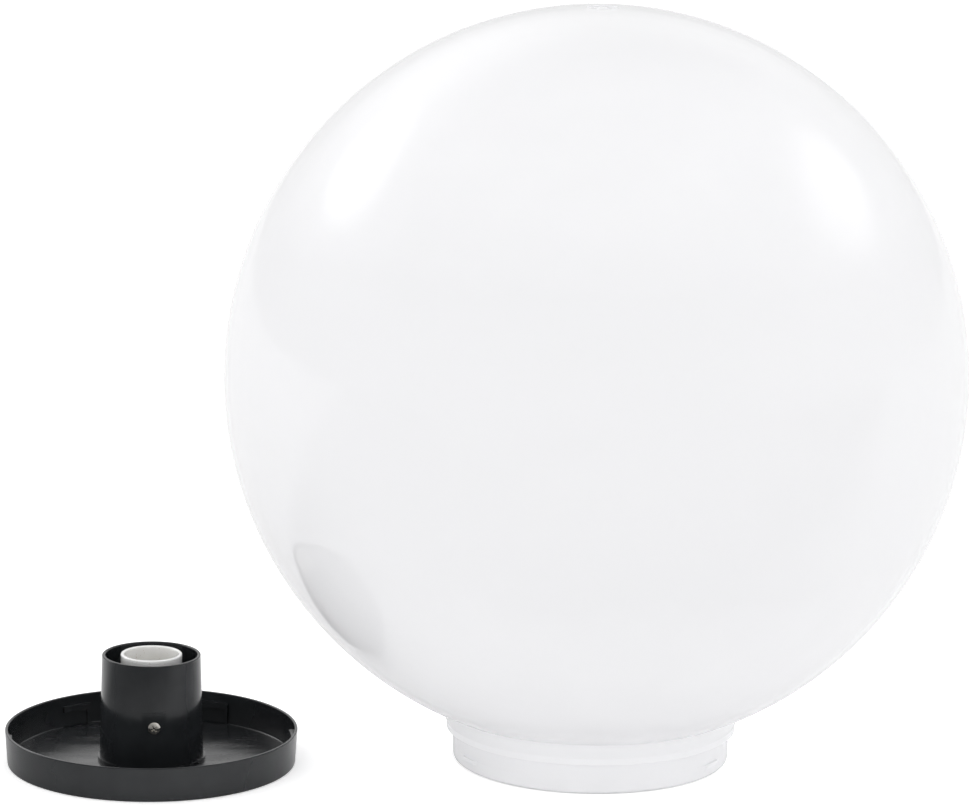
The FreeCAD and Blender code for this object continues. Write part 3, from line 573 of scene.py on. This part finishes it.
screw_pair("holder_screws_slotted", "holder_screws", 8.6, 34.4, material=zinc, segments=32, d=4.0,
           length=9.9, head=(7.0, 2.4), pitch=0.7, thread_depth=0.43, recess=(1, 0.8, 10, 0.9))
screw_pair("bracket_screws_slotted", "bracket_screws", 27.2, 51.5, material=zinc, segments=32, d=2.8,
           length=5.1, head=(5.0, 1.9), pitch=1.0, thread_depth=0.35, recess=(1, 0.8, 8, 0.9))

# --- Studio -------------------------------------------------------------------------------------
# A pale card in a white tent that is lit a little more low down, with two soft panels up at the left
# and right. Reflections show its front and its left as dimmer than the rest.
floor_side, floor_back, floor_gap = 12, 20, 0.0002      # in metres
floor_mesh = bpy.data.meshes.new("floor")
floor_mesh.from_pydata([
    (-floor_side, -floor_side, 0), (floor_side, -floor_side, 0),
    (floor_side, floor_back, 0), (-floor_side, floor_back, 0)], [], [(0, 1, 2, 3)])
floor = bpy.data.objects.new("floor", floor_mesh)
bpy.context.scene.collection.objects.link(floor)
floor.location.z = -floor_gap

# Matt white card: no gloss of its own, and bright enough behind the object to be plain white. The
# distances are millimetres in front of the base (-Y), behind it, and to its left (-X).
card, tree, shader, place = new_material("white_card", {
    "Roughness": 0.9, "Specular IOR Level": 0.1, "Emission Color": linear("#FFFFFF")})
path = add(tree, "ShaderNodeLightPath").outputs
in_gloss = path["Is Glossy Ray"]
seen = add(tree, "ShaderNodeMath", (path["Is Camera Ray"], in_gloss), operation="MAXIMUM")
seen = add(tree, "ShaderNodeMath", (seen, path["Is Transmission Ray"]), operation="MAXIMUM")
split = add(tree, "ShaderNodeSeparateXYZ", (place,)).outputs
in_front = add(tree, "ShaderNodeMapRange", (split["Y"], -380, -180, 0.2, 1.0))
at_left = add(tree, "ShaderNodeMapRange", (split["X"], -260, 40, 0.35, 1.0))
behind = add(tree, "ShaderNodeMapRange", (split["Y"], -20, 160, 0.0, 1.0))
dimmed = add(tree, "ShaderNodeMath", (in_front, at_left), operation="MULTIPLY")
gloss_share = add(tree, "ShaderNodeMath", (dimmed, behind), operation="MAXIMUM")
share = add(tree, "ShaderNodeMix", {0: in_gloss, 2: 1.0, 3: gloss_share}, data_type="FLOAT")
white = add(tree, "ShaderNodeMix", {
    0: share, 6: linear("#000000"), 7: linear("#FCFCFC")}, data_type="RGBA")
tree.links.new(white.outputs[2], shader.inputs["Base Color"])
held_back = add(tree, "ShaderNodeMath", (in_gloss, 0.8), operation="MULTIPLY")
lift = add(tree, "ShaderNodeMath", (seen, held_back), operation="SUBTRACT")
lift = add(tree, "ShaderNodeMath", (lift, 0.45), operation="MULTIPLY")
glow = add(tree, "ShaderNodeMath", (lift, share), operation="MULTIPLY")
tree.links.new(glow.outputs[0], shader.inputs["Emission Strength"])
floor_mesh.materials.append(card)

world = bpy.data.worlds.new("studio")
bpy.context.scene.world = world
world.use_nodes = True
tree = world.node_tree
tree.nodes.clear()
path = add(tree, "ShaderNodeLightPath").outputs
in_gloss = path["Is Glossy Ray"]
facing = add(tree, "ShaderNodeTexCoord").outputs["Generated"]


def towards(axis):
    """How far a direction into the tent leans along an axis."""
    lean = add(tree, "ShaderNodeVectorMath", (facing, axis), operation="DOT_PRODUCT")
    return lean.outputs["Value"]


def panel(centre, half_wide, half_high, soft, strength):
    """A soft-edged bright oval of the tent, by its direction and its half sizes in degrees."""
    centre = Vector(centre).normalized()
    side = centre.cross(Vector((0, 0, 1))).normalized()
    squares = []
    for axis, half in ((side, half_wide), (side.cross(centre), half_high)):
        reach = (towards(axis), math.sin(math.radians(half)))
        off = add(tree, "ShaderNodeMath", reach, operation="DIVIDE")
        off = add(tree, "ShaderNodeMath", (off,), operation="ABSOLUTE")
        squares.append(add(tree, "ShaderNodeMath", (off, 2.0), operation="POWER"))
    out = add(tree, "ShaderNodeMath", squares, operation="ADD")
    out = add(tree, "ShaderNodeMath", (out,), operation="SQRT")
    glow = add(tree, "ShaderNodeMapRange", (out, 1 - soft, 1 + soft, strength, 0.0))
    its_side = add(tree, "ShaderNodeMath", (towards(centre), 0.0), operation="GREATER_THAN")
    return add(tree, "ShaderNodeMath", (glow, its_side), operation="MULTIPLY")


# What lights the object comes from all round, most from low down. What it mirrors is brightest at
# the back right and in the panels.
height = towards((0, 0, 1))
low_down = add(tree, "ShaderNodeMapRange", (height, 0.0, 0.25, 3.2, 0.74))
overhead = add(tree, "ShaderNodeMapRange", (height, 0.5, 1.0, 0.0, 0.32))
lights = add(tree, "ShaderNodeMath", (low_down, overhead), operation="ADD")
at_back_right = towards((0.6, 0.8, 0.5))
mirrored = add(tree, "ShaderNodeMapRange", (at_back_right, -0.5, 0.5, 0.28, 0.8))
tent = add(tree, "ShaderNodeMix", {0: in_gloss, 2: lights, 3: mirrored}, data_type="FLOAT")
panel_share = add(tree, "ShaderNodeMapRange", (in_gloss, 0.0, 1.0, 0.08, 1.0))
left_lamp, left_halo = (
    ((-0.64, 0.56, 0.525), 14, 9, 0.35, 2.2), ((-0.42, 0.72, 0.55), 32, 13, 0.7, 0.8))
right_lamp, right_halo = (
    ((0.805, 0.255, 0.53), 16, 10, 0.35, 1.6), ((0.77, 0.36, 0.53), 24, 14, 0.7, 0.15))
for shape in (left_lamp, left_halo, right_lamp, right_halo):
    lit = (panel(*shape), panel_share, tent)
    tent = add(tree, "ShaderNodeMath", lit, operation="MULTIPLY_ADD")
straight = (path["Is Camera Ray"], path["Is Transmission Ray"])
plain = add(tree, "ShaderNodeMath", straight, operation="MAXIMUM")
strength = add(tree, "ShaderNodeMix", {0: plain, 2: tent, 3: 1.0}, data_type="FLOAT")
sky = add(tree, "ShaderNodeBackground", {"Color": linear("#FFFFFF"), "Strength": strength})
add(tree, "ShaderNodeOutputWorld", {"Surface": sky})

bpy.context.scene.view_settings.view_transform = "Standard"
